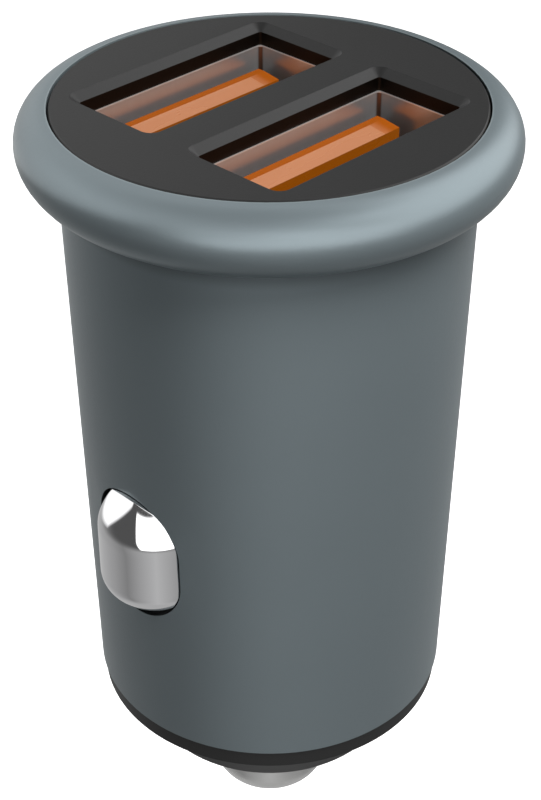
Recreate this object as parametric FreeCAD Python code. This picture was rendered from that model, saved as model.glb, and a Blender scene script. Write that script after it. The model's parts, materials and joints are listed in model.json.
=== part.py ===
"""Two-port car charger plug: turned shell, face plate, two ports, boards, sprung side lugs and sprung tip.

Millimetres, +Z up along the plug's axis. The origin is the centre of the face plate's outer surface, so
the plug runs down to the nose of its tip contact. The ports are long in X, and the lugs stand out at -X
and +X.
"""
import FreeCAD, Part
import math
import os

V = FreeCAD.Vector
X_AXIS = V(1, 0, 0)
Y_AXIS = V(0, 1, 0)
Z_AXIS = V(0, 0, 1)

# Face and flange
FACE_R = 10.70
FLANGE_R = 12.39
FLANGE_WIDEST_Z = -1.73
FLANGE_FOOT_Z = -3.59

# Tapered barrel
BARREL_TOP_R = 10.49
BARREL_TAPER = 0.0190
SHELL_END_Z = -34.21
SHELL_EDGE = 0.12
PORT_BORE_R = 9.50
PORT_BORE_END_Z = -16.70
CARRIER_BORE_R = 9.05

# Face plate, with the snap hooks that hold it in the shell's groove
PLATE_T = 1.07
PLATE_EDGE = 0.10
SEAM = 0.07
SNAP_Z = -5.30
SNAP_GROOVE_HALF = 0.50
SNAP_GROOVE_DEPTH = 0.22
LEG_T = 1.00
LEG_GAP = 0.10
LEG_HALF_W = 2.20
LEG_END_Z = -6.20
HOOK_HALF = 0.25
HOOK_REACH = 0.16

# Port openings: the chamfered mouth in the plate, then the metal shell behind it
PORT_Y = 4.17
MOUTH_L = 12.51
MOUTH_W = 5.24
MOUTH_R = 0.16
MOUTH_CHAMFER = 0.485
MOUTH_CHAMFER_DEPTH = 0.355
PORT_L = 12.40
PORT_W = 5.12
PORT_SHEET = 0.27
PORT_CORNER_R = 0.30
PORT_END_Z = -15.20

# Spring fingers of the port shell, each bent in its own window
FINGER_X = 3.10
FINGER_W = 1.80
FINGER_ROOT_Z = -10.60
FINGER_CREST_Z = -6.60
FINGER_TIP_Z = -5.20
FINGER_BOW = 0.32
FINGER_WINDOW_W = 2.40
FINGER_WINDOW_TOP_Z = -4.80

# Port tongue, measured from the port's own centre towards +Y
TONGUE_HALF_L = 5.60
TONGUE_NEAR_Y = 0.62
TONGUE_FAR_Y = 2.10
TONGUE_FLAT_W = 0.45
TONGUE_TIP_Z = -2.09
TONGUE_BEVEL_DROP = 0.15
BLOCK_TOP_Z = -11.90

# Leaf contacts, each in a groove of the tongue
CONTACT_X = (-3.5, -1.0, 1.0, 3.5)
CONTACT_T = 0.20
CONTACT_W = 0.90
CONTACT_TAIL_W = 0.60
CONTACT_TAIL_PROUD = 0.60
CONTACT_STEM_Z = -9.40
CONTACT_CREST_Z = -5.20
CONTACT_BOW = 0.50
CONTACT_TIP_Z = -3.20
GROOVE_DEPTH = 0.35
GROOVE_W = 1.10
GROOVE_TOP_Z = -2.90

# Boards
BOARD_T = 1.00
PORT_BOARD_R = 9.30
BOARD_TOP_Z = PORT_END_Z - BOARD_T
TAIL_HOLE_R = 0.42
MAIN_BOARD_HALF_W = 8.50
MAIN_BOARD_END_Z = -31.00
MAIN_BOARD_CORNER = 1.50
PIN_Y = (-7.2, -1.2, 1.2, 7.2)
PIN_SIDE = 0.60
PIN_END_Z = -18.80
PIN_POINT = 0.12

# Inner carrier halves
CARRIER_R = 8.95
CARRIER_WALL = 0.90
CARRIER_END_Z = -31.10
WELL_FLOOR_X = 5.70
WELL_WALL = 0.60
WELL_ROOM = 0.65
WELL_END_ROOM = 0.80

# Side lug and its window in the barrel
WINDOW_HALF_W = 2.99
WINDOW_TOP_Z = -18.42
WINDOW_END_Z = -26.12
LUG_GAP = 0.15
LUG_AXIS_X = 8.42
LUG_R = 3.05
LUG_RIDGE_Z = -20.60
LUG_RIDGE_FILLET = 0.35
LUG_RAMP = 0.50
LUG_ROUND = 1.55
LUG_LOW_Z = -25.38
LUG_HOLD = 0.40
LUG_BACK_X = 8.00
LUG_POCKET_R = 1.75
LUG_POCKET_X = 10.10
SPRING_SEAT_X = 6.00
LUG_Z = (WINDOW_TOP_Z + WINDOW_END_Z) / 2

# End cap, collar and tip contact
RING_R = 9.68
RING_END_Z = -35.31
RING_EDGE = 0.13
CAP_TOP_Z = -31.10
CAP_WALL = 1.40
CAP_FLOOR_Z = -33.70
COLLAR_R = 7.35
COLLAR_END_Z = -38.28
COLLAR_EDGE = 0.11
SPIGOT_R = 5.65
SPIGOT_TOP_Z = -32.60
COLLAR_LIP_Z = -37.25
CHAMBER_R = 4.35
TIP_BORE_R = 3.57
TIP_R = 3.49
TIP_NOSE_Z = -44.70
TIP_ROUND = 1.95
TIP_FLANGE_R = 4.25
TIP_FLANGE_T = 0.90
TIP_HOLLOW_R = 2.60
TIP_HOLLOW_END_Z = -39.50
TIP_DRILL_POINT = 0.60
TIP_SEAT_Z = -31.45
TERMINAL_R = 3.20
TERMINAL_T = 0.40
PRONG_HALF_W = 1.20
PRONG_TOP_Z = -28.60

# Springs: mean coil radius, wire radius and number of turns
SIDE_SPRING = (1.30, 0.20, 4)
TIP_SPRING = (2.15, 0.25, 6)
WIRE_FLATS = 6

# Board parts: where they sit on the upright board, and their bodies
INDUCTOR_Z = -22.0
INDUCTOR_R = 3.20
INDUCTOR_WAIST_R = 1.50
INDUCTOR_FLANGE_T = 0.60
INDUCTOR_H = 2.80
WINDING_R = 2.70
WINDING_BULGE = 0.20
CAN_R = 2.00
CAN_L = 6.20
CAN_Z = -28.9
CONVERTER = dict(length=4.9, width=3.9, height=1.6, leads=4, pitch=1.27, y=-4.2, z=-21.6)
CONTROLLER = dict(length=2.9, width=1.7, height=1.2, leads=3, pitch=0.95, y=4.4, z=-20.8)
DIODE = dict(length=4.3, width=2.6, height=2.1, side=-1, y=-4.4, z=-28.2)
FUSE = dict(length=3.2, width=1.6, height=0.9, side=-1, y=4.2, z=-28.4)
CERAMIC = dict(length=3.2, width=1.6, height=1.2, side=1, y=5.4)
RESISTOR = dict(length=3.2, width=1.6, height=0.6, side=1, y=-5.4)
SMALL_PART_Z = (-19.8, -23.4)

PRESS_GAP = 0.05
BEYOND = 1.0
HALF_TURN_SINE = math.sqrt(0.5)


def outline(start, *moves):
    """Flat face in the XZ plane. A point is a straight move, a pair of points an arc through the first."""
    here = V(start[0], 0, start[1])
    edges = []
    for move in moves + (start,):
        if isinstance(move[0], tuple):
            via, end = (V(x, 0, z) for x, z in move)
            edges.append(Part.Arc(here, via, end).toShape())
        else:
            end = V(move[0], 0, move[1])
            edges.append(Part.LineSegment(here, end).toShape())
        here = end
    return Part.Face(Part.Wire(edges))


def quarter_via(centre, reach):
    """Middle of a quarter round about a centre, given how far it reaches out and up."""
    return centre[0] + reach[0] * HALF_TURN_SINE, centre[1] + reach[1] * HALF_TURN_SINE


def turned(start, *moves):
    """Solid of revolution about the plug's axis, from its half section."""
    return outline(start, *moves).revolve(V(0, 0, 0), Z_AXIS, 360)


def tube(r_out, r_in, z_low, z_high):
    return turned((r_in, z_low), (r_out, z_low), (r_out, z_high), (r_in, z_high))


def block(x_low, x_high, y_low, y_high, z_low, z_high):
    return Part.makeBox(x_high - x_low, y_high - y_low, z_high - z_low, V(x_low, y_low, z_low))


def level_rounded_wire(length, width, radius, z):
    """Rectangle with round corners in a level plane, centred on the axis."""
    corners = []
    for sign_x, sign_y, first in ((1, 1, 0), (-1, 1, 90), (-1, -1, 180), (1, -1, 270)):
        centre = V(sign_x * (length / 2 - radius), sign_y * (width / 2 - radius), z)
        corners.append(Part.makeCircle(radius, centre, Z_AXIS, first, first + 90))
    edges = []
    for corner, following in zip(corners, corners[1:] + corners[:1]):
        edges.append(corner)
        edges.append(Part.makeLine(corner.lastVertex().Point, following.firstVertex().Point))
    return Part.Wire(edges)


def rounded_prism(length, width, radius, z_low, z_high):
    face = Part.Face(level_rounded_wire(length, width, radius, z_low))
    return face.extrude(V(0, 0, z_high - z_low))


def pill_prism(half_width, z_low, z_high, x_low, x_high):
    """Prism along X with an upright pill section: two half rounds joined by straight sides."""
    low = z_low + half_width
    high = z_high - half_width
    lower_round = Part.Arc(V(x_low, -half_width, low), V(x_low, 0, z_low), V(x_low, half_width, low))
    upper_round = Part.Arc(V(x_low, half_width, high), V(x_low, 0, z_high), V(x_low, -half_width, high))
    right = Part.LineSegment(V(x_low, half_width, low), V(x_low, half_width, high))
    left = Part.LineSegment(V(x_low, -half_width, high), V(x_low, -half_width, low))
    wire = Part.Wire([edge.toShape() for edge in (lower_round, right, upper_round, left)])
    return Part.Face(wire).extrude(V(x_high - x_low, 0, 0))


def mirrored(shape, side):
    """The shape as modelled at +X, or its mirror image at -X."""
    if side > 0:
        return shape
    return shape.mirror(V(0, 0, 0), X_AXIS)


def coil(mean_r, wire_r, turns, length):
    """Compression spring standing on the level plane: a wire with flats, swept up a helix."""
    half_flat = math.pi / WIRE_FLATS
    half_height = wire_r * math.cos(half_flat)
    corners = []
    for index in range(WIRE_FLATS):
        angle = 2 * index * half_flat
        corners.append(V(mean_r + wire_r * math.cos(angle), 0, half_height + wire_r * math.sin(angle)))
    section = Part.makePolygon(corners + corners[:1])
    rise = length - 2 * half_height
    path = Part.makeHelix(rise / turns, rise, mean_r)
    path.translate(V(0, 0, half_height))
    return Part.Wire(path.Edges).makePipeShell([section], True, True)


def barrel_radius(z):
    return BARREL_TOP_R + BARREL_TAPER * z


def barrel_shell():
    """One turned aluminium piece: round-edged flange with a seat for the face plate, then the barrel."""
    foot_r = barrel_radius(FLANGE_FOOT_Z)
    end_r = barrel_radius(SHELL_END_Z)
    groove_r = PORT_BORE_R + SNAP_GROOVE_DEPTH
    upper_via = quarter_via((FACE_R, FLANGE_WIDEST_Z), (FLANGE_R - FACE_R, -FLANGE_WIDEST_Z))
    lower_via = quarter_via((foot_r, FLANGE_WIDEST_Z), (FLANGE_R - foot_r, FLANGE_FOOT_Z - FLANGE_WIDEST_Z))
    body = turned(
        (FACE_R, 0),
        (upper_via, (FLANGE_R, FLANGE_WIDEST_Z)),
        (lower_via, (foot_r, FLANGE_FOOT_Z)),
        (end_r, SHELL_END_Z + SHELL_EDGE),
        (end_r - SHELL_EDGE, SHELL_END_Z),
        (CARRIER_BORE_R, SHELL_END_Z),
        (CARRIER_BORE_R, PORT_BORE_END_Z),
        (PORT_BORE_R, PORT_BORE_END_Z),
        (PORT_BORE_R, SNAP_Z - SNAP_GROOVE_HALF),
        (groove_r, SNAP_Z - SNAP_GROOVE_HALF),
        (groove_r, SNAP_Z + SNAP_GROOVE_HALF),
        (PORT_BORE_R, SNAP_Z + SNAP_GROOVE_HALF),
        (PORT_BORE_R, -PLATE_T),
        (FACE_R, -PLATE_T),
    )
    for side in (-1, 1):
        window = pill_prism(WINDOW_HALF_W, WINDOW_END_Z, WINDOW_TOP_Z, WELL_FLOOR_X, FLANGE_R)
        body = body.cut(mirrored(window, side))
    return body


def mouth_cutter():
    """The port mouth: a chamfer that narrows from a rounded rectangle, then a straight wall."""
    wide_r = MOUTH_R + MOUTH_CHAMFER
    wide = level_rounded_wire(MOUTH_L + 2 * MOUTH_CHAMFER, MOUTH_W + 2 * MOUTH_CHAMFER, wide_r, 0)
    narrow = level_rounded_wire(MOUTH_L, MOUTH_W, MOUTH_R, -MOUTH_CHAMFER_DEPTH)
    chamfer = Part.makeLoft([wide, narrow], True, True)
    wall = rounded_prism(MOUTH_L, MOUTH_W, MOUTH_R, -PLATE_T - BEYOND, -MOUTH_CHAMFER_DEPTH)
    return chamfer.fuse(wall)


def snap_legs():
    """Two sectors of a hooked ring, cut out at -X and +X."""
    leg_r = PORT_BORE_R - LEG_GAP
    hook_r = PORT_BORE_R + HOOK_REACH
    ring = turned(
        (leg_r - LEG_T, -PLATE_T),
        (leg_r - LEG_T, LEG_END_Z),
        (leg_r - LEG_T / 3, LEG_END_Z),
        (hook_r, SNAP_Z - HOOK_HALF),
        (hook_r, SNAP_Z + HOOK_HALF),
        (leg_r, SNAP_Z + HOOK_HALF),
        (leg_r, -PLATE_T),
    )
    sector = block(0, FACE_R, -LEG_HALF_W, LEG_HALF_W, LEG_END_Z, -PLATE_T)
    return [ring.common(mirrored(sector, side)) for side in (-1, 1)]


def face_plate():
    """Moulded disc with two chamfered mouths, a stiffening web and two legs that snap into the shell."""
    r = FACE_R - SEAM
    disc = turned((0, -PLATE_T), (r, -PLATE_T), (r, -PLATE_EDGE), (r - PLATE_EDGE, 0), (0, 0))
    web = block(-4.2, 4.2, -1.1, 1.1, -4.0, -PLATE_T)
    plate = disc.fuse([web] + snap_legs())
    for sign in (-1, 1):
        plate = plate.cut(mouth_cutter().translated(V(0, sign * PORT_Y, 0)))
    return plate


def spring_finger():
    """Bent leaf of the port shell, rooted low in the +Y wall and bowed into the port."""
    wall = PORT_W / 2
    points = [
        V(0, wall, FINGER_ROOT_Z - 0.5),
        V(0, wall, FINGER_ROOT_Z),
        V(0, wall - FINGER_BOW, FINGER_CREST_Z),
        V(0, wall + 0.02, FINGER_TIP_Z),
    ]
    back = [point + V(0, 0.8 * PORT_SHEET, 0) for point in reversed(points)]
    leaf = Part.Face(Part.makePolygon(points + back + points[:1])).extrude(V(FINGER_W, 0, 0))
    return leaf.translated(V(-FINGER_W / 2, 0, 0))


def port_shell():
    """Folded steel sheet: a rounded rectangular tube with a seam, bent spring fingers and solder legs."""
    outer_l = PORT_L + 2 * PORT_SHEET
    outer_w = PORT_W + 2 * PORT_SHEET
    outer = rounded_prism(outer_l, outer_w, PORT_CORNER_R + PORT_SHEET, PORT_END_Z, -PLATE_T)
    inner = rounded_prism(PORT_L, PORT_W, PORT_CORNER_R, PORT_END_Z - BEYOND, 0)
    seam = block(-0.05, 0.05, -outer_w / 2 - BEYOND, 0, PORT_END_Z, -PLATE_T)
    shell = outer.cut([inner, seam])
    half_window = FINGER_WINDOW_W / 2
    wall_y = PORT_W / 2 - 0.1
    window = block(-half_window, half_window, wall_y, outer_w, FINGER_ROOT_Z, FINGER_WINDOW_TOP_Z)
    for turn in (0, 180):
        for x in (-FINGER_X, FINGER_X):
            opening = window.translated(V(x, 0, 0))
            finger = spring_finger().translated(V(x, 0, 0))
            opening.rotate(V(0, 0, 0), Z_AXIS, turn)
            finger.rotate(V(0, 0, 0), Z_AXIS, turn)
            shell = shell.cut(opening).fuse(finger)
    for side in (-1, 1):
        leg = block(PORT_L / 2, PORT_L / 2 + PORT_SHEET, -1.0, 1.0, BOARD_TOP_Z + 0.1, PORT_END_Z)
        shell = shell.fuse(mirrored(leg, side))
    return shell.removeSplitter()


def port_insulator():
    """Moulded tongue on its block: flat strip and lead-in bevel at the tip, grooves for the contacts."""
    near = TONGUE_NEAR_Y
    far = TONGUE_FAR_Y
    root_z = BLOCK_TOP_Z - 0.2
    section = [
        V(-TONGUE_HALF_L, near, root_z),
        V(-TONGUE_HALF_L, far, root_z),
        V(-TONGUE_HALF_L, far, TONGUE_TIP_Z),
        V(-TONGUE_HALF_L, far - TONGUE_FLAT_W, TONGUE_TIP_Z),
        V(-TONGUE_HALF_L, near, TONGUE_TIP_Z - TONGUE_BEVEL_DROP),
    ]
    tongue = Part.Face(Part.makePolygon(section + section[:1])).extrude(V(2 * TONGUE_HALF_L, 0, 0))
    base = rounded_prism(PORT_L - 0.1, PORT_W - 0.1, PORT_CORNER_R, PORT_END_Z, BLOCK_TOP_Z)
    body = base.fuse(tongue)
    for x in CONTACT_X:
        low_x = x - GROOVE_W / 2
        high_x = x + GROOVE_W / 2
        groove = block(low_x, high_x, near - BEYOND, near + GROOVE_DEPTH, BLOCK_TOP_Z, GROOVE_TOP_Z)
        tunnel = block(low_x, high_x, near, near + GROOVE_DEPTH, PORT_END_Z, BLOCK_TOP_Z)
        body = body.cut([groove, tunnel])
    return body.removeSplitter()


def port_contact(x):
    """Leaf contact: narrow tail through the board, stem in its tunnel, bow into the port's wide gap."""
    back = TONGUE_NEAR_Y + GROOVE_DEPTH - CONTACT_T
    tail_z = BOARD_TOP_Z - CONTACT_TAIL_PROUD

    def leaf_edge(y):
        low = V(0, y, tail_z)
        stem = V(0, y, CONTACT_STEM_Z)
        crest = V(0, y - CONTACT_BOW - 0.15, CONTACT_CREST_Z)
        tip = V(0, y - 0.06, CONTACT_TIP_Z)
        return low, stem, crest, tip

    low, stem, crest, tip = leaf_edge(back)
    low_back, stem_back, crest_back, tip_back = leaf_edge(back + CONTACT_T)
    edges = [
        Part.LineSegment(low, stem),
        Part.Arc(stem, crest, tip),
        Part.LineSegment(tip, tip_back),
        Part.Arc(tip_back, crest_back, stem_back),
        Part.LineSegment(stem_back, low_back),
        Part.LineSegment(low_back, low),
    ]
    strip = Part.Face(Part.Wire([edge.toShape() for edge in edges]))
    leaf = strip.extrude(V(CONTACT_W, 0, 0)).translated(V(x - CONTACT_W / 2, 0, 0))
    for side in (-1, 1):
        shoulder = block(CONTACT_TAIL_W / 2, CONTACT_W, -BEYOND, BEYOND, tail_z - BEYOND, PORT_END_Z)
        leaf = leaf.cut(mirrored(shoulder, side).translated(V(x, 0, 0)))
    return leaf


def port_board():
    """Round board that carries both ports, pierced for contact tails, shell legs and the board pins."""
    board = Part.makeCylinder(PORT_BOARD_R, BOARD_T, V(0, 0, BOARD_TOP_Z))
    low = BOARD_TOP_Z - BEYOND
    openings = []
    for sign in (-1, 1):
        port_y = sign * PORT_Y
        tail_y = port_y + TONGUE_NEAR_Y + GROOVE_DEPTH - CONTACT_T / 2
        for x in CONTACT_X:
            openings.append(Part.makeCylinder(TAIL_HOLE_R, BOARD_T + 2 * BEYOND, V(x, tail_y, low)))
        for side in (-1, 1):
            slot = block(PORT_L / 2 - 0.1, PORT_L / 2 + 0.4, port_y - 1.1, port_y + 1.1, low, 0)
            openings.append(mirrored(slot, side))
    for y in PIN_Y:
        half = PIN_SIDE / 2
        openings.append(block(BOARD_T / 2, BOARD_T / 2 + PIN_SIDE, y - half, y + half, low, 0))
    return board.cut(openings)


def main_board():
    """Upright board in the YZ plane, with its bottom corners cut back to clear the end cap."""
    x = -BOARD_T / 2
    w = MAIN_BOARD_HALF_W
    end = MAIN_BOARD_END_Z
    cut = MAIN_BOARD_CORNER
    points = [V(x, -w, BOARD_TOP_Z), V(x, w, BOARD_TOP_Z), V(x, w, end + cut)]
    points += [V(x, w - cut, end), V(x, cut - w, end), V(x, -w, end + cut)]
    return Part.Face(Part.makePolygon(points + points[:1])).extrude(V(BOARD_T, 0, 0))


def board_pin(y):
    """Square pin soldered to the upright board and passed through the round one."""
    half = PIN_SIDE / 2
    inner = BOARD_T / 2
    pin = block(inner, inner + PIN_SIDE, y - half, y + half, PIN_END_Z, PORT_END_Z - PRESS_GAP)
    point = [edge for edge in pin.Edges if edge.BoundBox.ZMax < PIN_END_Z + PIN_POINT]
    return pin.makeChamfer(PIN_POINT, point)


def carrier_half(side):
    """Half of the moulded sleeve round the upright board, with a pill-shaped well for its side lug."""
    low = WINDOW_END_Z - WELL_END_ROOM
    high = WINDOW_TOP_Z + WELL_END_ROOM
    half_w = WINDOW_HALF_W + WELL_ROOM
    sleeve = tube(CARRIER_R, CARRIER_R - CARRIER_WALL, CARRIER_END_Z, BOARD_TOP_Z)
    sleeve = sleeve.common(block(0, FLANGE_R, -FLANGE_R, FLANGE_R, CARRIER_END_Z, BOARD_TOP_Z))
    inside = Part.makeCylinder(CARRIER_R, BOARD_TOP_Z - CARRIER_END_Z, V(0, 0, CARRIER_END_Z))
    well_low = low - WELL_WALL
    well_high = high + WELL_WALL
    well = pill_prism(half_w + WELL_WALL, well_low, well_high, WELL_FLOOR_X - WELL_WALL, CARRIER_R)
    hollow = pill_prism(half_w, low, high, WELL_FLOOR_X, FLANGE_R)
    leg_slot = block(WELL_FLOOR_X - BEYOND, WELL_FLOOR_X + BEYOND, -0.9, 0.9, low + 0.30, low + 0.90)
    edge_y = MAIN_BOARD_HALF_W + 0.1
    rebate = block(-1, BOARD_T / 2 + PRESS_GAP, -edge_y, edge_y, CARRIER_END_Z, BOARD_TOP_Z)
    half = sleeve.fuse(well.common(inside)).cut([hollow, leg_slot, rebate])
    return mirrored(half.removeSplitter(), side)


def lug_form():
    """Outside of the lug: turned about an upright axis, with a ramp on top and a rounded lower end."""
    top = WINDOW_TOP_Z + BEYOND
    low = LUG_LOW_Z
    ramp_r = LUG_R - LUG_RAMP * (top - LUG_RIDGE_Z)
    round_via = quarter_via((LUG_R - LUG_ROUND, low + LUG_ROUND), (LUG_ROUND, -LUG_ROUND))
    face = outline(
        (0, low),
        (LUG_R - LUG_ROUND, low),
        (round_via, (LUG_R, low + LUG_ROUND)),
        (LUG_R, LUG_RIDGE_Z),
        (ramp_r, top),
        (0, top),
    )
    form = face.revolve(V(0, 0, 0), Z_AXIS, 360)
    near = 1e-3
    ridge = []
    for edge in form.Edges:
        box = edge.BoundBox
        if box.ZLength < near and abs(box.ZMax - LUG_RIDGE_Z) < near:
            ridge.append(edge)
    return form.makeFillet(LUG_RIDGE_FILLET, ridge).translated(V(LUG_AXIS_X, 0, 0))


def side_contact(side):
    """Polished ground lug: dome in the window, rim behind the window's edge, pocket for its spring."""

    def window_pill(grown, x_high):
        low = WINDOW_END_Z - grown
        high = WINDOW_TOP_Z + grown
        return pill_prism(WINDOW_HALF_W + grown, low, high, LUG_BACK_X, x_high)

    dome = window_pill(-LUG_GAP, FLANGE_R).common(lug_form())
    bore = Part.makeCylinder(CARRIER_BORE_R - PRESS_GAP, -CARRIER_END_Z, V(0, 0, CARRIER_END_Z))
    body = window_pill(LUG_HOLD, CARRIER_BORE_R).common(bore).fuse(dome)
    pocket = Part.makeCylinder(LUG_POCKET_R, LUG_POCKET_X - LUG_BACK_X, V(LUG_BACK_X, 0, LUG_Z), X_AXIS)
    return mirrored(body.cut(pocket).removeSplitter(), side)


def side_spring(side):
    """Short compression spring between the ground plate and the lug's pocket."""
    spring = coil(*SIDE_SPRING, LUG_POCKET_X - SPRING_SEAT_X)
    spring.rotate(V(0, 0, 0), Y_AXIS, 90)
    spring.translate(V(SPRING_SEAT_X, 0, LUG_Z))
    return mirrored(spring, side)


def ground_plate(side):
    """Brass plate on the floor of the well, with a bent leg soldered to the upright board."""
    gap = 0.1
    low = WINDOW_END_Z - WELL_END_ROOM
    high = WINDOW_TOP_Z + WELL_END_ROOM
    half_w = WINDOW_HALF_W + WELL_ROOM - gap
    thick = SPRING_SEAT_X - WELL_FLOOR_X
    plate = pill_prism(half_w, low + gap, high - gap, WELL_FLOOR_X, SPRING_SEAT_X)
    leg_low = low + 0.45
    leg = block(BOARD_T / 2, SPRING_SEAT_X, -0.8, 0.8, leg_low, leg_low + thick)
    foot = block(BOARD_T / 2, BOARD_T / 2 + thick, -0.8, 0.8, leg_low, leg_low + 1.0)
    return mirrored(plate.fuse([leg, foot]).removeSplitter(), side)


def end_cap():
    """Moulded cap: the dark ring flush with the barrel, a cup inside the shell and a hole for the collar."""
    hole_r = SPIGOT_R + PRESS_GAP
    cup_r = CARRIER_BORE_R - PRESS_GAP
    return turned(
        (hole_r, RING_END_Z),
        (RING_R - RING_EDGE, RING_END_Z),
        (RING_R, RING_END_Z + RING_EDGE),
        (RING_R, SHELL_END_Z),
        (cup_r, SHELL_END_Z),
        (cup_r, CAP_TOP_Z),
        (cup_r - CAP_WALL, CAP_TOP_Z),
        (cup_r - CAP_WALL, CAP_FLOOR_Z),
        (hole_r, CAP_FLOOR_Z),
    )


def tip_collar():
    """Stepped collar below the cap: its spigot fills the cap's hole and its lip keeps the tip contact in."""
    return turned(
        (TIP_BORE_R, COLLAR_END_Z),
        (COLLAR_R - COLLAR_EDGE, COLLAR_END_Z),
        (COLLAR_R, COLLAR_END_Z + COLLAR_EDGE),
        (COLLAR_R, RING_END_Z),
        (SPIGOT_R, RING_END_Z),
        (SPIGOT_R, SPIGOT_TOP_Z),
        (CHAMBER_R, SPIGOT_TOP_Z),
        (CHAMBER_R, COLLAR_LIP_Z),
        (TIP_BORE_R, COLLAR_LIP_Z),
    )


def tip_contact():
    """Turned centre contact: rounded nose, straight shank, flange on the collar's lip and a spring pocket."""
    top_z = COLLAR_LIP_Z + TIP_FLANGE_T
    round_via = quarter_via((TIP_R - TIP_ROUND, TIP_NOSE_Z + TIP_ROUND), (TIP_ROUND, -TIP_ROUND))
    return turned(
        (0, TIP_NOSE_Z),
        (TIP_R - TIP_ROUND, TIP_NOSE_Z),
        (round_via, (TIP_R, TIP_NOSE_Z + TIP_ROUND)),
        (TIP_R, COLLAR_LIP_Z),
        (TIP_FLANGE_R, COLLAR_LIP_Z),
        (TIP_FLANGE_R, top_z),
        (TIP_HOLLOW_R, top_z),
        (TIP_HOLLOW_R, TIP_HOLLOW_END_Z),
        (0, TIP_HOLLOW_END_Z - TIP_DRILL_POINT),
    )


def tip_spring():
    """Compression spring from the tip contact's pocket up to the terminal on the upright board."""
    spring = coil(*TIP_SPRING, TIP_SEAT_Z - TIP_HOLLOW_END_Z)
    return spring.translated(V(0, 0, TIP_HOLLOW_END_Z))


def tip_terminal():
    """Brass disc under the upright board's end, with a prong soldered to the board's -X face."""
    disc = Part.makeCylinder(TERMINAL_R, TERMINAL_T, V(0, 0, TIP_SEAT_Z))
    face = -BOARD_T / 2
    prong = block(face - TERMINAL_T, face, -PRONG_HALF_W, PRONG_HALF_W, TIP_SEAT_Z, PRONG_TOP_Z)
    return disc.fuse(prong).removeSplitter()


def lying_on_board(shape):
    """A shape turned about Z, laid down so that its foot is on the upright board's +X face."""
    shape.rotate(V(0, 0, 0), Y_AXIS, 90)
    return shape.translated(V(BOARD_T / 2, 0, INDUCTOR_Z))


def inductor_core():
    """Ferrite drum: two flanges joined by a narrow waist."""
    low = INDUCTOR_FLANGE_T
    high = INDUCTOR_H - INDUCTOR_FLANGE_T
    return lying_on_board(turned(
        (0, 0),
        (INDUCTOR_R, 0),
        (INDUCTOR_R, low),
        (INDUCTOR_WAIST_R, low),
        (INDUCTOR_WAIST_R, high),
        (INDUCTOR_R, high),
        (INDUCTOR_R, INDUCTOR_H),
        (0, INDUCTOR_H),
    ))


def inductor_winding():
    """Copper winding in the drum's waist, bulged half way between the flanges."""
    low = INDUCTOR_FLANGE_T + 0.02
    high = INDUCTOR_H - low
    inner = INDUCTOR_WAIST_R + PRESS_GAP
    bulge = (WINDING_R + WINDING_BULGE, INDUCTOR_H / 2)
    return lying_on_board(turned((inner, low), (WINDING_R, low), bulge, (WINDING_R, high), (inner, high)))


def can_capacitor(y_low):
    """Small electrolytic can lying across the board, crimped near its rubber end."""
    r = CAN_R
    can = turned(
        (0, 0),
        (r - 0.3, 0),
        (r, 0.3),
        (r, 0.9),
        (r - 0.25, 1.15),
        (r, 1.4),
        (r, CAN_L - 0.3),
        (r - 0.3, CAN_L),
        (0, CAN_L),
    )
    can.rotate(V(0, 0, 0), X_AXIS, -90)
    return can.translated(V(BOARD_T / 2 + r + PRESS_GAP, y_low, CAN_Z))


def gull_lead(height, reach=1.0, width=0.4, thick=0.18):
    """Flat lead that leaves a chip's side at +Y, steps down and ends in a foot on the board."""
    front = [V(0, 0, height), V(0, 0.35, height), V(0, 0.55, thick), V(0, reach, thick)]
    back = [V(0, reach, 0), V(0, 0.45, 0), V(0, 0.25, height - thick), V(0, 0, height - thick)]
    lead = Part.Face(Part.makePolygon(front + back + front[:1])).extrude(V(width, 0, 0))
    return lead.translated(V(-width / 2, 0, 0))


def chip(length, width, height, leads, pitch, y, z):
    """Moulded chip on the board's -X face, with gull-wing leads down both long sides."""
    body = block(-length / 2, length / 2, -width / 2, width / 2, 0.1, height)
    body = body.makeChamfer(0.2, [edge for edge in body.Edges if edge.BoundBox.ZMin > height - 0.01])
    for index in range(leads):
        along = (index - (leads - 1) / 2) * pitch
        lead = gull_lead(height / 2).translated(V(along, width / 2, 0))
        body = body.fuse([lead, lead.mirror(V(0, 0, 0), Y_AXIS)])
    body.rotate(V(0, 0, 0), Y_AXIS, -90)
    return body.translated(V(-BOARD_T / 2, y, z))


def surface_block(length, width, height, side, y, z):
    """Small soldered part: a block with proud end terminals, its length along Z."""
    end = length / 2
    terminal = 0.18 * length
    proud = 0.08
    core = block(0, height - proud, proud - width / 2, width / 2 - proud, proud - end, end - proud)
    upper = block(0, height, -width / 2, width / 2, end - terminal, end)
    lower = block(0, height, -width / 2, width / 2, -end, terminal - end)
    body = core.fuse([upper, lower]).removeSplitter().translated(V(BOARD_T / 2, 0, 0))
    return mirrored(body, side).translated(V(0, y, z))


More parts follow.
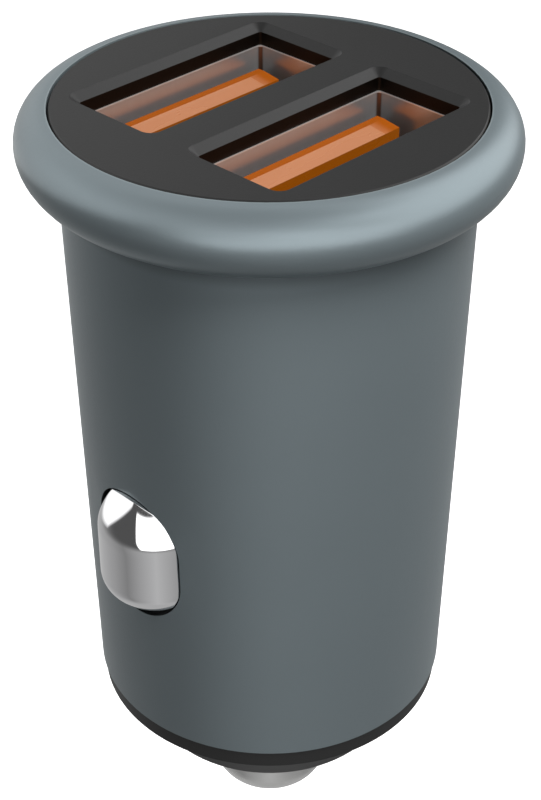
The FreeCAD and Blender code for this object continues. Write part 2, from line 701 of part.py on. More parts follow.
def pieces():
    """Every piece of the plug by node name."""
    named = {
        "barrel_shell": barrel_shell(),
        "face_plate": face_plate(),
        "port_board": port_board(),
        "main_board": main_board(),
        "end_cap": end_cap(),
        "tip_collar": tip_collar(),
        "tip_contact": tip_contact(),
        "tip_spring": tip_spring(),
        "tip_terminal": tip_terminal(),
        "inductor_core": inductor_core(),
        "inductor_winding": inductor_winding(),
        "input_capacitor": can_capacitor(-CAN_L - 0.2),
        "output_capacitor": can_capacitor(0.2),
        "converter_chip": chip(**CONVERTER),
        "control_chip": chip(**CONTROLLER),
        "rectifier_diode": surface_block(**DIODE),
        "input_fuse": surface_block(**FUSE),
    }
    for letter, sign in (("a", 1), ("b", -1)):
        place = V(0, sign * PORT_Y, 0)
        named["port_%s_shell" % letter] = port_shell().translated(place)
        named["port_%s_insulator" % letter] = port_insulator().translated(place)
        for number, x in enumerate(CONTACT_X, 1):
            named["port_%s_contact_%d" % (letter, number)] = port_contact(x).translated(place)
    for name, side in (("left", -1), ("right", 1)):
        named["carrier_" + name] = carrier_half(side)
        named["side_contact_" + name] = side_contact(side)
        named["side_spring_" + name] = side_spring(side)
        named["ground_plate_" + name] = ground_plate(side)
    for number, y in enumerate(PIN_Y, 1):
        named["board_pin_%d" % number] = board_pin(y)
    for number, z in enumerate(SMALL_PART_Z, 1):
        named["ceramic_capacitor_%d" % number] = surface_block(**CERAMIC, z=z)
        named["sense_resistor_%d" % number] = surface_block(**RESISTOR, z=z)
    return named


os.makedirs("parts", exist_ok=True)
for node, shape in pieces().items():
    shape.exportStep("parts/%s.step" % node)
    print("%-22s solids %d valid %s volume %.2f" % (node, len(shape.Solids), shape.isValid(), shape.Volume))
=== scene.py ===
"""Looks of a two-port car charger plug: slate shell, black face, orange port tongues, polished lugs and tip.

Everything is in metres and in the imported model's frame: +Z runs up the plug's axis, and z = 0 is the face.
"""
import json
import math
import bmesh
import bpy
import numpy as np
from mathutils import Euler, Matrix, Vector


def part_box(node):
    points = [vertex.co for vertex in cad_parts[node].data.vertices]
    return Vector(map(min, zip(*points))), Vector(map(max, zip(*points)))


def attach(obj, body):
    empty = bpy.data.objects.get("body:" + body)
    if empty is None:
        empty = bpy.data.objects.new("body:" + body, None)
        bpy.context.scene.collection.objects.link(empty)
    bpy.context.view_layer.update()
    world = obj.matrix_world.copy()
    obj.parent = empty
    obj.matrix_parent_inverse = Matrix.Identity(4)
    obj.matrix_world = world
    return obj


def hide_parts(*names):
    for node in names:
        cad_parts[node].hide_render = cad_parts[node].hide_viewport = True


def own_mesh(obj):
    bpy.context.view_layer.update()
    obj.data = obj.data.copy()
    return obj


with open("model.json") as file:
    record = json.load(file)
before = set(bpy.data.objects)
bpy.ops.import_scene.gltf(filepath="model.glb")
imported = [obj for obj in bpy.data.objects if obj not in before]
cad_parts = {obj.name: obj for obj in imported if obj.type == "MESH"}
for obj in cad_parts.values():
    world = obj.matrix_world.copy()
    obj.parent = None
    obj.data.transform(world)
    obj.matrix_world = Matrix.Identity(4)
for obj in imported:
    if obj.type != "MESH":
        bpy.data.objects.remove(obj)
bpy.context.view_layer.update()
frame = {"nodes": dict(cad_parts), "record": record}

MM = 0.001

# Camera of the photograph: millimetres from the middle of the face, its roll in radians
CAMERA_PLACE = (-55.433, -54.422, 35.14)
CAMERA_AIM_Z = -17.53
CAMERA_ROLL = -0.00155
CAMERA_LENS = 78.60
CAMERA_SHIFT = (0.0011875, 0.00021875)
CAMERA_CLIP = (0.005, 20.0)

# Plug, in millimetres
BARREL_R = 10.49
BARREL_TAPER = 0.019
FACE_HOLE_R = 10.70
PLATE_R = 10.63
FLANGE_WIDEST_Z = -1.73
FLANGE_FOOT_Z = -3.59
PORT_Y = 4.17
CHAMFER_DEEP = 0.355
CAN_TOP_Z = -1.07
CAN_CORNER = (6.02, 2.36)
TONGUE_STRIP_Y = 1.65
TONGUE_END_X = 4.53
TONGUE_BEVEL_Z = -2.24

# Ground lug, in millimetres: turned about an upright axis, cut to a pill, held by a rim behind its window
LUG_AXIS_X = 8.42
LUG_R = 3.05
LUG_Z = -22.27
LUG_HALF_W = 2.93
LUG_HALF_RUN = 0.86
LUG_LOW_Z = -25.38
LUG_FOOT_R = 1.55
LUG_EDGE_R = 0.015
RAMP_START_Z = -21.25
RAMP_BEND = 1.0
RAMP_SLOPE = 0.36
RAMP_MIDDLE_Z = -20.75
RAMP_GROWTH = 0.116
RIM_GROWN = 0.31
RIM_R = 9.04
LUG_BACK_X = 8.00
POCKET_R = 1.75
POCKET_X = 10.10

# Points of the lug's mesh: round an end, along a straight, over its edge, and in from it, crowded there
ARC_STEPS = 61
RUN_STEPS = 15
EDGE_STEPS = 6
FRONT_STEPS = 54
FRONT_CROWDING = 1.4

# Springs, in millimetres: wire radius and number of turns, fixed ends, and how far each is pressed
SIDE_WIRE = (0.20, 4)
TIP_WIRE = (0.25, 6)
SPRING_SEAT_X = 6.00
TIP_SEAT_Z = -31.45
LUG_TRAVEL = 1.2
TIP_TRAVEL = 2.5

# Points of a spring's mesh: along a turn, and round the wire
COIL_STEPS = 40
WIRE_STEPS = 12

# Meshes: points nearer than this many millimetres merge, and edges bent by more degrees stay sharp
MERGE_GAP = 0.0005
SHARP_BEND = 35

# Edges between finishes and of painted light and shade, in millimetres: place, and softness to each side
LIP_R = (FACE_HOLE_R + 0.065, 0.025)
LIP_Z = (-0.09, 0.03)
SHADE_LOW_Z = (FLANGE_FOOT_Z - 0.70, 0.40)
SHADE_HIGH_Z = (FLANGE_FOOT_Z + 0.02, 0.02)
BORE_R = (BARREL_R - 0.045, 0.015)
BORE_TOP_Z = (-4.5, 0.5)
MOUTH_WALL_Z = (-CHAMFER_DEEP - 0.01, 0.02)
PLATE_EDGE_R = (PLATE_R - 0.035, 0.015)
BEVEL_TOP_Z = (TONGUE_BEVEL_Z - 0.01, 0.01)
STRIP_EDGE_Y = (TONGUE_STRIP_Y - 0.005, 0.015)
TONGUE_END = (TONGUE_END_X, 0.05)
TONGUE_END_FADE = (TONGUE_END_X + 0.35, 0.35)
CUT_EDGE_Z = (CAN_TOP_Z - 0.055, 0.015)
FOLD_SOFT = 0.05
POLISH_AND_SHADE_R = (RIM_R + 0.055, 0.025)

# How strong the painted shade under the flange and the tongue's rough end without painted sheen are, and the
# flange's dip, in millimetres
SHADE_SHARE = 0.42
MATT_UNSHEENED_SHARE = 0.55
DIP_REACH = 0.26
DIP_DEPTH = 0.010

# Sizes of patterns, in millimetres, and how far each is drawn out along an axis
BLAST_SIZE = 0.16
SHELL_CLOUD_SIZE = 5.0
SPARK_SIZE = 0.12
MOULDING_CLOUD_SIZE = 4.0
FLOW_SIZE = 1.2
FLOW_STRETCH = (4, 1, 1)
MARK_SIZE = 0.3
DRAWN_ALONG_Z = (1, 1, 8)
TURNED_ROUND_Z = (6, 6, 1)
FIBRE_SIZE = 2.0

# Studio, in metres, degrees and watts
FLOOR_Z = -0.11
FLOOR_SIZE = 4.0
FLOOR_BRIGHTNESS = 0.90
SKY_LEVEL = 0.15
LAMP_AZIMUTH = 40
LAMP_HEIGHT = 58
LAMP_DISTANCE = 0.22
LAMP_SIZE = 0.11
LAMP_POWER = 1.05

# Paper below, mirrored: brightness by azimuth over one turn from behind the plug, and its heights in degrees
FLOOR_GLOW = [
    (0.00, 0.50), (0.03, 0.56), (0.17, 0.46), (0.25, 0.38), (0.33, 0.27), (0.41, 0.42), (0.50, 0.57),
    (0.61, 0.40), (0.73, 0.33), (0.93, 0.43), (1.00, 0.50),
]
PAPER_HEIGHTS = (-62, -12)
PAPER_SOFT = 10
NADIR_LEVEL = 0.5
ROOM_LEVEL = 0.10

# Soft boxes that metal and gloss mirror, in degrees: azimuths, heights, softness and brightness
SOFT_BOXES = {
    "over the front, right": ((-3, 34), (22.6, 42), 3, 2.4),
    "over the front, left": ((-46, -3), (27, 38), 3, 1.7),
    "strip over the front, left": ((-42, -3), (22.8, 27.3), 1.5, 1.0),
    "beside the front": ((34, 56), (-9, 32), 3, 2.0),
    "behind": ((-200, -145), (-2, 34), 10, 0.42),
}
RIGHT_BOX = ((56, 148), (1, 64), 8)
RIGHT_LEVEL = 1.95
HIGH_BAND = (38, 62, 6)
HIGH_LEVEL = 0.55

# Front box: its edges, each a place and a softness, and how its left side and its top lean
FRONT_LEFT = (-43, 2)
FRONT_LEFT_LEAN = 0.62
FRONT_LEFT_HEIGHT = 18
FRONT_RIGHT = (34, 2)
FRONT_LOW = (-10.5, 1.3)
FRONT_TOP = (20.6, 1.0)
FRONT_TOP_LEAN = 0.072
FRONT_LEVEL = 2.4

# Flank box, on the left: its sides and heights, and its lower edge, which bends at a corner
FLANK_LEFT = (-147, 43)
FLANK_RIGHT = (-58, 2)
FLANK_HEIGHTS = (-40, 42, 10)
FLANK_CORNER = (-103, -10)
FLANK_SLOPE = 0.326
FLANK_BEND = 0.263
FLANK_EDGE_SOFT = 1.5
FLANK_LEVEL = 1.35


class Wire:
    """One output of a node. Arithmetic on it adds Math nodes."""

    def __init__(self, graph, socket):
        self.graph = graph
        self.socket = socket

    def math(self, operation, *values):
        return self.graph.node("ShaderNodeMath", {"operation": operation}, *values)

    def __add__(self, other):
        return self.math("ADD", self, other)

    __radd__ = __add__

    def __sub__(self, other):
        return self.math("SUBTRACT", self, other)

    def __rsub__(self, other):
        return self.math("SUBTRACT", other, self)

    def __mul__(self, other):
        return self.math("MULTIPLY", self, other)

    __rmul__ = __mul__

    def __truediv__(self, other):
        return self.math("DIVIDE", self, other)

    def __abs__(self):
        return self.math("ABSOLUTE", self)

    def past(self, edge, soft):
        """0 before an edge and 1 past it, in a smooth step that reaches soft to each side."""
        settings = {"interpolation_type": "SMOOTHSTEP"}
        return self.graph.node("ShaderNodeMapRange", settings, self, edge - soft, edge + soft, 0.0, 1.0)

    def between(self, low, high, soft):
        """1 from low to high and 0 outside, with soft edges."""
        return self.past(low, soft) * (1 - self.past(high, soft))

    def other(self, name):
        """Another output of the same node, by name or place."""
        return Wire(self.graph, self.socket.node.outputs[name])


class Graph:
    """A node tree, and the one method that adds any node to it."""

    def __init__(self, tree):
        self.tree = tree
        tree.nodes.clear()

    def node(self, kind, settings, *values, **named):
        """Adds a node: its settings first, then its sockets, in order or by name with _ for a space."""
        made = self.tree.nodes.new(kind)
        for key, value in settings.items():
            if key == "stops":
                self.set_stops(made.color_ramp, value)
            else:
                setattr(made, key, value)
        wanted = list(enumerate(values)) + [(key.replace("_", " "), value) for key, value in named.items()]
        for key, value in wanted:
            if isinstance(value, Wire):
                self.tree.links.new(value.socket, made.inputs[key])
            elif value is not None:
                made.inputs[key].default_value = value
        return Wire(self, made.outputs[0])

    def set_stops(self, ramp, stops):
        """Stops of a ramp, as places from 0 to 1 and grey levels."""
        while len(ramp.elements) < len(stops):
            ramp.elements.new(0.5)
        for element, (place, level) in zip(ramp.elements, stops):
            element.position = place
            element.color = grey(level)

    def blend(self, share, first, second):
        """Colour that goes from first to second as share goes from 0 to 1."""
        unused = (None,) * 5
        return self.node("ShaderNodeMix", {"data_type": "RGBA"}, share, *unused, first, second).other(2)


class Finish(Graph):
    """A material: one Principled shader, whose constants are set on its own sockets, and what feeds it."""

    def __init__(self, name, **constants):
        self.material = bpy.data.materials.new(name)
        self.material.use_nodes = True
        super().__init__(self.material.node_tree)
        self.shader = self.tree.nodes.new("ShaderNodeBsdfPrincipled")
        output = self.tree.nodes.new("ShaderNodeOutputMaterial")
        self.tree.links.new(self.shader.outputs[0], output.inputs[0])
        for key, value in constants.items():
            self.shader.inputs[key.replace("_", " ")].default_value = value
        self.place = self.node("ShaderNodeTexCoord", {}).other("Object")

    def feed(self, **wires):
        """Links wires to the shader's sockets and gives the finished material."""
        for key, wire in wires.items():
            self.tree.links.new(wire.socket, self.shader.inputs[key.replace("_", " ")])
        return self.material

    def grain(self, size, stretch=(1, 1, 1)):
        """Noise from 0 to 1 in the object's own place, its lumps about size millimetres across."""
        scale = [1 / (size * MM * factor) for factor in stretch]
        spot = self.node("ShaderNodeMapping", {}, Vector=self.place, Scale=scale)
        return self.node("ShaderNodeTexNoise", {}, Vector=spot, Scale=1.0, Detail=3.0)

    def where(self):
        """Place on the piece in millimetres: x, y and z."""
        split = self.node("ShaderNodeSeparateXYZ", {}, Vector=self.place)
        return [split.other(axis) * (1 / MM) for axis in range(3)]

    def relief(self, height, depth):
        """Normal from a height, of which 1 is depth millimetres."""
        return self.node("ShaderNodeBump", {}, Height=height, Distance=depth * MM, Strength=1.0)


def grey(level):
    return (level, level, level, 1.0)


def from_axis(x, y):
    """Distance from the plug's axis."""
    return x.math("SQRT", x * x + y * y)


def across_port(y):
    """Place across the nearer port, from its middle."""
    return y - PORT_Y * y.math("SIGN", y)


def anodised_slate():
    """Bead-blasted and anodised aluminium, satin with a fine grain: bright at its polished lip, partly a
    painted highlight, with painted shade under its flange and inside the shell.

    A shallow dip along the flange's widest line evens out the solid's facets, because two arcs meet there.
    """
    finish = Finish("anodised_slate", Metallic=0.62, Specular_IOR_Level=0.3)
    x, y, z = finish.where()
    radius = from_axis(x, y)
    grain = finish.grain(BLAST_SIZE)
    cloud = finish.grain(SHELL_CLOUD_SIZE)
    # Lighter at the lip: a polished edge, and partly a painted highlight of its rounding catching light.
    lip = (1 - radius.past(*LIP_R)) * z.past(*LIP_Z)
    # Painted shade on the barrel just under the flange's foot, fading downwards.
    shade = z.past(*SHADE_LOW_Z) * (1 - z.past(*SHADE_HIGH_Z))
    # Painted shade inside the shell, below the flange: near black on its bore and on the walls of its
    # windows.
    inside = (1 - (radius - BARREL_TAPER * z).past(*BORE_R)) * (1 - z.past(*BORE_TOP_Z))
    colour = finish.blend(cloud, (0.174, 0.209, 0.224, 1), (0.184, 0.221, 0.236, 1))
    colour = finish.blend(lip, colour, (0.23, 0.275, 0.29, 1))
    colour = finish.blend(SHADE_SHARE * shade, colour, (0.02, 0.024, 0.026, 1))
    colour = finish.blend(inside, colour, (0.022, 0.025, 0.027, 1))
    near = 1 - abs(z - FLANGE_WIDEST_Z) / DIP_REACH
    dip = near.math("MAXIMUM", near, 0.0)
    return finish.feed(
        Base_Color=colour,
        Roughness=0.35 + 0.06 * grain,
        Normal=finish.relief(0.4 * grain - dip * dip, DIP_DEPTH),
    )


def moulding(name, level, roughness, ior=1.50):
    """Spark-textured satin plastic."""
    finish = Finish(name, IOR=ior)
    grain = finish.grain(SPARK_SIZE)
    cloud = finish.grain(MOULDING_CLOUD_SIZE)
    return finish.feed(
        Base_Color=finish.blend(cloud, grey(level * 0.92), grey(level * 1.08)),
        Roughness=roughness + 0.08 * (grain - 0.5),
        Normal=finish.relief(grain, 0.004),
    )


def face_moulding():
    """Satin black face, with painted shade on the walls of its mouths and in the gap round its rim."""
    finish = Finish("face_moulding", IOR=1.44)
    x, y, z = finish.where()
    grain = finish.grain(SPARK_SIZE)
    cloud = finish.grain(MOULDING_CLOUD_SIZE)
    # Painted shade: near black and metallic on the mouths' walls below their chamfers and in the gap round
    # the rim.
    wall = 1 - z.past(*MOUTH_WALL_Z)
    painted_shade = wall.math("MAXIMUM", wall, from_axis(x, y).past(*PLATE_EDGE_R))
    black = finish.blend(cloud, grey(0.0075), grey(0.0090))
    return finish.feed(
        Base_Color=finish.blend(painted_shade, black, (0.021, 0.015, 0.011, 1)),
        Metallic=painted_shade,
        Roughness=0.41 + 0.08 * grain,
        Normal=finish.relief(grain, 0.004),
    )


def tongue_moulding():
    """Orange plastic with faint flow marks: glossy on its bevel, where a pale sheen is painted, and rougher
    and deep on strip and ends.
    """
    finish = Finish("tongue_moulding", IOR=1.46)
    x, y, z = finish.where()
    flow = finish.grain(FLOW_SIZE, FLOW_STRETCH)
    top = z.past(*BEVEL_TOP_Z)
    strip = across_port(y).past(*STRIP_EDGE_Y)
    fade = abs(x).past(*TONGUE_END_FADE)
    end = abs(x).past(*TONGUE_END) * (MATT_UNSHEENED_SHARE + (1 - MATT_UNSHEENED_SHARE) * fade)
    # Rougher on strip and ends, and without the painted sheen there.
    matt_unsheened = strip.math("MAXIMUM", strip, end)
    side = finish.blend(flow, (0.200, 0.050, 0.001, 1), (0.220, 0.056, 0.002, 1))
    # Painted sheen: the pale peach stands in for a highlight on the flat top; deep is the plain orange.
    pale = finish.blend(flow, (0.290, 0.115, 0.053, 1), (0.310, 0.127, 0.059, 1))
    deep = finish.blend(flow, (0.200, 0.044, 0.001, 1), (0.215, 0.048, 0.001, 1))
    return finish.feed(
        Base_Color=finish.blend(top, side, finish.blend(matt_unsheened, pale, deep)),
        Roughness=0.24 + 0.06 * flow + 0.6 * top * matt_unsheened,
        Normal=finish.relief(flow, 0.006),
    )


def can_steel():
    """Satin plated sheet with fine drawing marks, bright along its cut top edge, with painted shade in its
    folds.
    """
    finish = Finish("can_steel", Metallic=0.85)
    x, y, z = finish.where()
    marks = finish.grain(MARK_SIZE, DRAWN_ALONG_Z)
    long, wide = CAN_CORNER
    fold_shade = abs(x).past(long, FOLD_SOFT) * abs(across_port(y)).past(wide, FOLD_SOFT)
    colour = finish.blend(marks, grey(0.48), grey(0.52))
    # Painted shade, tinted brown, in the can's folded corners.
    colour = finish.blend(fold_shade, colour, (0.16, 0.09, 0.06, 1))
    colour = finish.blend(z.past(*CUT_EDGE_Z), colour, grey(0.85))
    return finish.feed(
        Base_Color=colour, Roughness=0.26 + 0.08 * marks, Normal=finish.relief(marks, 0.002)
    )


def metal(name, colour, roughness, stretch=DRAWN_ALONG_Z):
    """Bare or plated metal with fine marks drawn out along its stretch."""
    finish = Finish(name, Metallic=1.0)
    marks = finish.grain(MARK_SIZE, stretch)
    worn = tuple(0.92 * part for part in colour)
    return finish.feed(
        Base_Color=finish.blend(marks, (*worn, 1), (*colour, 1)),
        Roughness=roughness + 0.08 * (marks - 0.5),
        Normal=finish.relief(marks, 0.002),
    )


def lug_mirror():
    """Mirror-polished plate, left dull on the rim that hides behind the window, where painted shade makes it
    dark.
    """
    finish = Finish("lug_mirror", Metallic=1.0)
    x, y = finish.where()[:2]
    marks = finish.grain(MARK_SIZE, DRAWN_ALONG_Z)
    polished_out_of_shade = from_axis(x, y).past(*POLISH_AND_SHADE_R)
    shine = finish.blend(marks, (0.735, 0.735, 0.745, 1), (0.745, 0.745, 0.755, 1))
    return finish.feed(
        # Painted shade: the rim behind the window is near black, the polished face is not.
        Base_Color=finish.blend(polished_out_of_shade, grey(0.03), shine),
        Roughness=0.30 - 0.26 * polished_out_of_shade + 0.015 * marks,
    )


def finishes():
    """A material for every slot of the record."""
    return {
        "anodised_shell": anodised_slate(),
        "black_plastic": moulding("black_moulding", 0.007, 0.48, 1.40),
        "grey_plastic": moulding("grey_moulding", 0.030, 0.45, 1.75),
        "orange_plastic": tongue_moulding(),
        "port_steel": can_steel(),
        "contact_bronze": metal("contact_bronze", (0.83, 0.60, 0.28), 0.25),
        "lug_steel": lug_mirror(),
        "tip_nickel": metal("tip_nickel", (0.70, 0.70, 0.69), 0.20, TURNED_ROUND_Z),
        "spring_steel": metal("spring_steel", (0.50, 0.50, 0.50), 0.30),
        "board_green": moulding("board_green", 0.05, 0.35),
        "pin_tin": metal("pin_tin", (0.62, 0.62, 0.60), 0.35),
        "plate_brass": metal("plate_brass", (0.75, 0.58, 0.28), 0.30),
        "ferrite": moulding("ferrite", 0.06, 0.60),
        "winding_copper": metal("winding_copper", (0.70, 0.33, 0.16), 0.30),
        "can_aluminium": metal("can_aluminium", (0.70, 0.70, 0.72), 0.30),
        "chip_black": moulding("chip_black", 0.02, 0.55),
        "fuse_white": moulding("fuse_white", 0.60, 0.35),
        "ceramic_tan": moulding("ceramic_tan", 0.30, 0.50),
    }


def dress_cad_nodes(by_slot, by_node):
    """Gives each CAD node the material of its slot, or its own."""
    for part in frame["record"]["subparts"]:
        for slot in frame["nodes"][part["node"]].material_slots:
            slot.material = by_node.get(part["node"], by_slot[part["material_slot"]])


def lug_reach(z):
    """Distance from the lug's upright axis to its face: constant, a ramp that steepens, and a round foot.

    The ramp's drop is its slope, eased in along a smooth step, plus half its growth times the height squared.
    """
    ease = np.clip((z - RAMP_START_Z) / RAMP_BEND, 0, 1)
    past = np.clip(z - RAMP_START_Z - RAMP_BEND, 0, None)
    ramp = RAMP_SLOPE * (RAMP_BEND * (ease ** 3 - ease ** 4 / 2) + past)
    ramp += RAMP_GROWTH * np.clip(z - RAMP_MIDDLE_Z, 0, None) ** 2 / 2
    foot = np.clip(LUG_LOW_Z + LUG_FOOT_R - z, 0, LUG_FOOT_R)
    return LUG_R - ramp - (LUG_FOOT_R - np.sqrt(LUG_FOOT_R ** 2 - foot ** 2))


def lug_rings():
    """Rings of points over the whole lug, from the middle of its front round its rim to its pocket's middle.

    Each front ring is the pill drawn in by a distance, which closes on the pill's middle line. The distances
    crowd towards the edge, to keep its rounding sharp. A ring's points stand as far out as the turned face,
    less a quarter round along the pill's edge.
    """
    turn = np.linspace(0, math.pi, ARC_STEPS)
    run = np.linspace(LUG_HALF_RUN, -LUG_HALF_RUN, RUN_STEPS)[1:-1]
    angle = np.concatenate([turn, np.full(run.size, math.pi), turn + math.pi, np.zeros(run.size)])
    upper = np.full(ARC_STEPS, LUG_HALF_RUN)
    centre = np.concatenate([upper, run, -upper, -run])
    across, along = np.cos(angle), np.sin(angle)

    quarter = np.linspace(0, math.pi / 2, EDGE_STEPS)
    edge = LUG_EDGE_R * (1 - np.cos(quarter))
    share = np.linspace(0, 1, FRONT_STEPS)[1:] ** FRONT_CROWDING
    inset = np.concatenate([edge, LUG_EDGE_R + (LUG_HALF_W - LUG_EDGE_R) * share])[::-1, None]
    y = (LUG_HALF_W - inset) * across
    z = LUG_Z + centre + (LUG_HALF_W - inset) * along
    room = LUG_LOW_Z - (LUG_Z - LUG_HALF_RUN - LUG_HALF_W)
    sunk = np.clip((LUG_LOW_Z - z) / room, 0, 1)
    z = np.maximum(z, LUG_LOW_Z)
    left = np.clip(LUG_EDGE_R - inset, 0, None)
    rounding = LUG_EDGE_R - np.sqrt(LUG_EDGE_R ** 2 - left ** 2)
    rim_x = np.sqrt(RIM_R ** 2 - y ** 2)
    x = LUG_AXIS_X + np.sqrt(np.clip(lug_reach(z) ** 2 - y ** 2, 0, None)) - rounding
    x = np.maximum(x + sunk * (rim_x - x), rim_x)
    front = np.stack([x, y, z], axis=-1)

    wall = np.stack([rim_x[-1], y[-1], z[-1]], axis=-1)
    y = (LUG_HALF_W + RIM_GROWN) * across
    z = LUG_Z + centre + (LUG_HALF_W + RIM_GROWN) * along
    rim = np.stack([np.sqrt(RIM_R ** 2 - y ** 2), y, z], axis=-1)
    back = np.stack([np.full(y.size, LUG_BACK_X), y, z], axis=-1)
    pocket = [
        np.stack([np.full(y.size, x), r * across, LUG_Z + r * along], axis=-1)
        for x, r in [(LUG_BACK_X, POCKET_R), (POCKET_X, POCKET_R), (POCKET_X, 0)]
    ]
    return np.concatenate([front, np.stack([wall, rim, back, *pocket])])


def closed_piece(name, rings, material):
    """Closed mesh from rings of points in millimetres: faces join neighbours, and points that meet merge."""
    count, around = rings.shape[:2]
    here = np.arange(count * around).reshape(count, around)
    beside = np.roll(here, -1, axis=1)
    faces = np.stack([here[:-1], beside[:-1], beside[1:], here[1:]], axis=-1).reshape(-1, 4)
    mesh = bpy.data.meshes.new(name)
    mesh.from_pydata((rings.reshape(-1, 3) * MM).tolist(), [], faces.tolist())
    shell = bmesh.new()
    shell.from_mesh(mesh)
    bmesh.ops.remove_doubles(shell, verts=shell.verts, dist=MERGE_GAP * MM)
    bmesh.ops.recalc_face_normals(shell, faces=shell.faces)
    shell.to_mesh(mesh)
    shell.free()
    mesh.shade_smooth()
    mesh.set_sharp_from_angle(angle=math.radians(SHARP_BEND))
    mesh.materials.append(material)
    piece = bpy.data.objects.new(name, mesh)
    bpy.context.scene.collection.objects.link(piece)
    return piece


def add_lugs(material):
    """Smooth mirror lugs in place of the faceted solids."""
    for side, sign in (("left", -1), ("right", 1)):
        lug = closed_piece(side + "_lug_dome", lug_rings() * (sign, 1, 1), material)
        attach(lug, side + "_lug")
        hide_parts("side_contact_" + side)


def coil_rings(outer_r, length, wire_r, turns):
    """Rings of round wire up a helix from height 0 to length, its end turns closed.

    The pitch eases from one wire's width at each end to its full size a turn later, and sums to the height.
    """
    turn = np.linspace(0, turns, COIL_STEPS * turns + 1)
    ease = np.clip(np.minimum(turn, turns - turn), 0, 1)
    ease = ease * ease * (3 - 2 * ease)
    opened = np.concatenate([[0], np.cumsum(ease[1:] + ease[:-1])])
    shut = 2 * wire_r
    height = wire_r + shut * turn + (length - shut - shut * turns) * opened / opened[-1]
    angle = 2 * math.pi * turn[:, None]
    around = np.linspace(0, 2 * math.pi, WIRE_STEPS, endpoint=False)
    reach = outer_r - wire_r + wire_r * np.cos(around)
    rise = height[:, None] + wire_r * np.sin(around)
    wire = np.stack([reach * np.cos(angle), reach * np.sin(angle), rise], axis=-1)
    ends = wire[[0, -1]].mean(axis=1, keepdims=True).repeat(WIRE_STEPS, axis=1)
    return np.concatenate([ends[:1], wire, ends[1:]])


def spring_size(node, axis):
    """Outer radius and length of a CAD spring that lies along x, axis 0, or z, axis 2, in millimetres."""
    low, high = (np.array(corner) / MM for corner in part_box(node))
    return (high[1] - low[1]) / 2, high[axis] - low[axis]


def add_coil(name, rings, node, material):
    """Round-wire spring in place of a flat-sided solid."""
    coil = closed_piece(name, rings, material)
    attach(coil, "plug_body")
    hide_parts(node)
    return coil


def add_springs(material):
    """Round-wire springs, each with a mesh of its own, in place of the CAD springs."""
    for side, sign in (("left", -1), ("right", 1)):
        node = "side_spring_" + side
        outer_r, length = spring_size(node, 0)
        across, along, height = np.moveaxis(coil_rings(outer_r, length, *SIDE_WIRE), -1, 0)
        rings = np.stack([sign * (SPRING_SEAT_X + height), across, LUG_Z + along], axis=-1)
        coil = add_coil(side + "_lug_coil", rings, node, material)
        1 - LUG_TRAVEL / length
        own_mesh(coil)

    outer_r, length = spring_size("tip_spring", 2)
    rings = coil_rings(outer_r, length, *TIP_WIRE) + (0, 0, TIP_SEAT_Z - length)
    coil = add_coil("tip_coil", rings, "tip_spring", material)
    1 - TIP_TRAVEL / length
    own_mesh(coil)


def add_camera():
    """Camera at the photograph's place, turned towards a point of the plug's axis."""
    data = bpy.data.cameras.new("camera")
    data.lens = CAMERA_LENS
    data.shift_x, data.shift_y = CAMERA_SHIFT
    data.clip_start, data.clip_end = CAMERA_CLIP
    camera = bpy.data.objects.new("camera", data)
    bpy.context.scene.collection.objects.link(camera)
    x, y, z = CAMERA_PLACE
    camera.location = np.array(CAMERA_PLACE) * MM
    pitch = math.atan2(z - CAMERA_AIM_Z, math.hypot(x, y))
    heading = math.atan2(-y, -x)
    upright = Euler((math.pi / 2 - pitch, 0, heading - math.pi / 2)).to_matrix()
    camera.rotation_euler = (upright @ Matrix.Rotation(CAMERA_ROLL, 3, "Z")).to_euler()
    bpy.context.scene.camera = camera


def add_floor():
    """Plain pale floor, well below the plug."""
    half = FLOOR_SIZE / 2
    corners = [(-half, -half), (half, -half), (half, half), (-half, half)]
    mesh = bpy.data.meshes.new("floor")
    mesh.from_pydata([(x, y, FLOOR_Z) for x, y in corners], [], [(0, 1, 2, 3)])
    floor = bpy.data.objects.new("floor", mesh)
    bpy.context.scene.collection.objects.link(floor)
    floor.visible_glossy = False
    floor.visible_diffuse = False
    paper = Finish(
        "floor_paper", Roughness=0.9, Emission_Color=grey(1.0), Emission_Strength=FLOOR_BRIGHTNESS
    )
    fibres = paper.grain(FIBRE_SIZE)
    mesh.materials.append(paper.feed(Base_Color=paper.blend(fibres, grey(0.93), grey(0.96))))


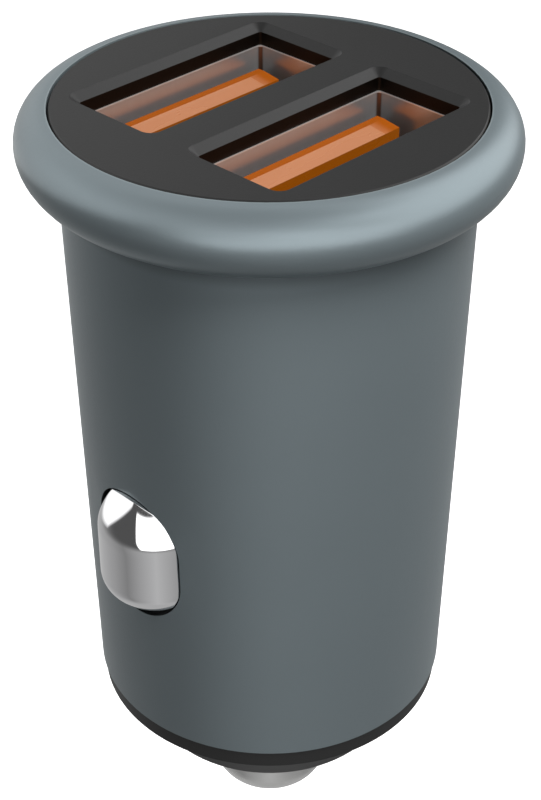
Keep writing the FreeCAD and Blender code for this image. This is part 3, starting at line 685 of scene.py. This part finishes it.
class Surroundings(Graph):
    """Light round the plug by direction, in degrees: azimuth from the camera, to its right, and height."""

    def __init__(self, tree):
        super().__init__(tree)
        way = self.node("ShaderNodeTexCoord", {}).other("Generated")
        level = math.hypot(CAMERA_PLACE[0], CAMERA_PLACE[1])
        front = (CAMERA_PLACE[0] / level, CAMERA_PLACE[1] / level, 0)
        ahead = self.along(way, front)
        side = self.along(way, (-front[1], front[0], 0))
        up = self.along(way, (0, 0, 1))
        self.azimuth = side.math("ARCTAN2", side, ahead) * (180 / math.pi)
        self.height = up.math("ARCSINE", up) * (180 / math.pi)

    def along(self, way, axis):
        """Share of a direction that lies along an axis."""
        return self.node("ShaderNodeVectorMath", {"operation": "DOT_PRODUCT"}, way, axis).other("Value")

    def soft_box(self, azimuths, heights, soft):
        return self.azimuth.between(*azimuths, soft) * self.height.between(*heights, soft)

    def front_box(self):
        """Long box in front. Its left side leans, and its top droops to the left."""
        leaning = self.azimuth - FRONT_LEFT_LEAN * (FRONT_LEFT_HEIGHT - self.height)
        drooping = self.height - FRONT_TOP_LEAN * self.azimuth.math("MINIMUM", self.azimuth, 0.0)
        sides = leaning.past(*FRONT_LEFT) * (1 - self.azimuth.past(*FRONT_RIGHT))
        return sides * self.height.past(*FRONT_LOW) * (1 - drooping.past(*FRONT_TOP))

    def flank_edge(self):
        """1 above the flank box's lower edge, which rises to the right and bends up past its corner."""
        beyond = self.azimuth - FLANK_CORNER[0]
        bent = FLANK_SLOPE * beyond + FLANK_BEND * beyond.math("MAXIMUM", beyond, 0.0)
        return (self.height - FLANK_CORNER[1] - bent).past(0, FLANK_EDGE_SOFT)

    def mirrored(self):
        """What metal and gloss reflect: long soft boxes round the plug, a dim room, and paper below."""
        below = self.node("ShaderNodeValToRGB", {"stops": FLOOR_GLOW}, self.azimuth / 360 + 0.5)
        low = self.height.between(*PAPER_HEIGHTS, PAPER_SOFT)
        nadir = 1 - self.height.past(PAPER_HEIGHTS[0], PAPER_SOFT)
        right = self.soft_box(*RIGHT_BOX)
        flank = self.azimuth.past(*FLANK_LEFT) * (1 - self.azimuth.past(*FLANK_RIGHT))
        flank = flank * self.height.between(*FLANK_HEIGHTS)
        high = self.height.between(*HIGH_BAND) * (1 - flank) * (1 - right)
        light = low * below + NADIR_LEVEL * nadir + ROOM_LEVEL * (1 - low) * (1 - nadir)
        light = light + FRONT_LEVEL * self.front_box() + RIGHT_LEVEL * right + HIGH_LEVEL * high
        light = light + FLANK_LEVEL * flank * self.flank_edge()
        for azimuths, heights, soft, level in SOFT_BOXES.values():
            light = light + level * self.soft_box(azimuths, heights, soft)
        return light


def add_studio_light():
    """White paper behind the plug, soft boxes round it, and one large soft lamp high in front."""
    world = bpy.data.worlds.new("studio")
    bpy.context.scene.world = world
    world.use_nodes = True
    world.cycles.sampling_method = "NONE"
    sky = Surroundings(world.node_tree)
    ray = sky.node("ShaderNodeLightPath", {})
    seen, glossy = ray.other("Is Camera Ray"), ray.other("Is Glossy Ray")
    level = seen + (1 - seen) * (glossy * sky.mirrored() + (1 - glossy) * SKY_LEVEL)
    glow = sky.node("ShaderNodeBackground", {}, Color=grey(1.0), Strength=level)
    output = sky.tree.nodes.new("ShaderNodeOutputWorld")
    sky.tree.links.new(glow.socket, output.inputs[0])
    bpy.context.scene.view_settings.view_transform = "Standard"

    data = bpy.data.lights.new("key_lamp", "AREA")
    data.shape = "DISK"
    data.size = LAMP_SIZE
    data.energy = LAMP_POWER
    lamp = bpy.data.objects.new("key_lamp", data)
    bpy.context.scene.collection.objects.link(lamp)
    ahead = math.atan2(CAMERA_PLACE[1], CAMERA_PLACE[0]) + math.radians(LAMP_AZIMUTH)
    height = math.radians(LAMP_HEIGHT)
    flat = math.cos(height)
    away = Vector((flat * math.cos(ahead), flat * math.sin(ahead), math.sin(height)))
    lamp.location = LAMP_DISTANCE * away
    lamp.rotation_euler = away.to_track_quat("Z", "Y").to_euler()
    lamp.visible_glossy = False
    lamp.visible_camera = False


materials = finishes()
dress_cad_nodes(materials, {"face_plate": face_moulding()})
add_lugs(materials["lug_steel"])
add_springs(materials["spring_steel"])
add_camera()
add_floor()
add_studio_light()
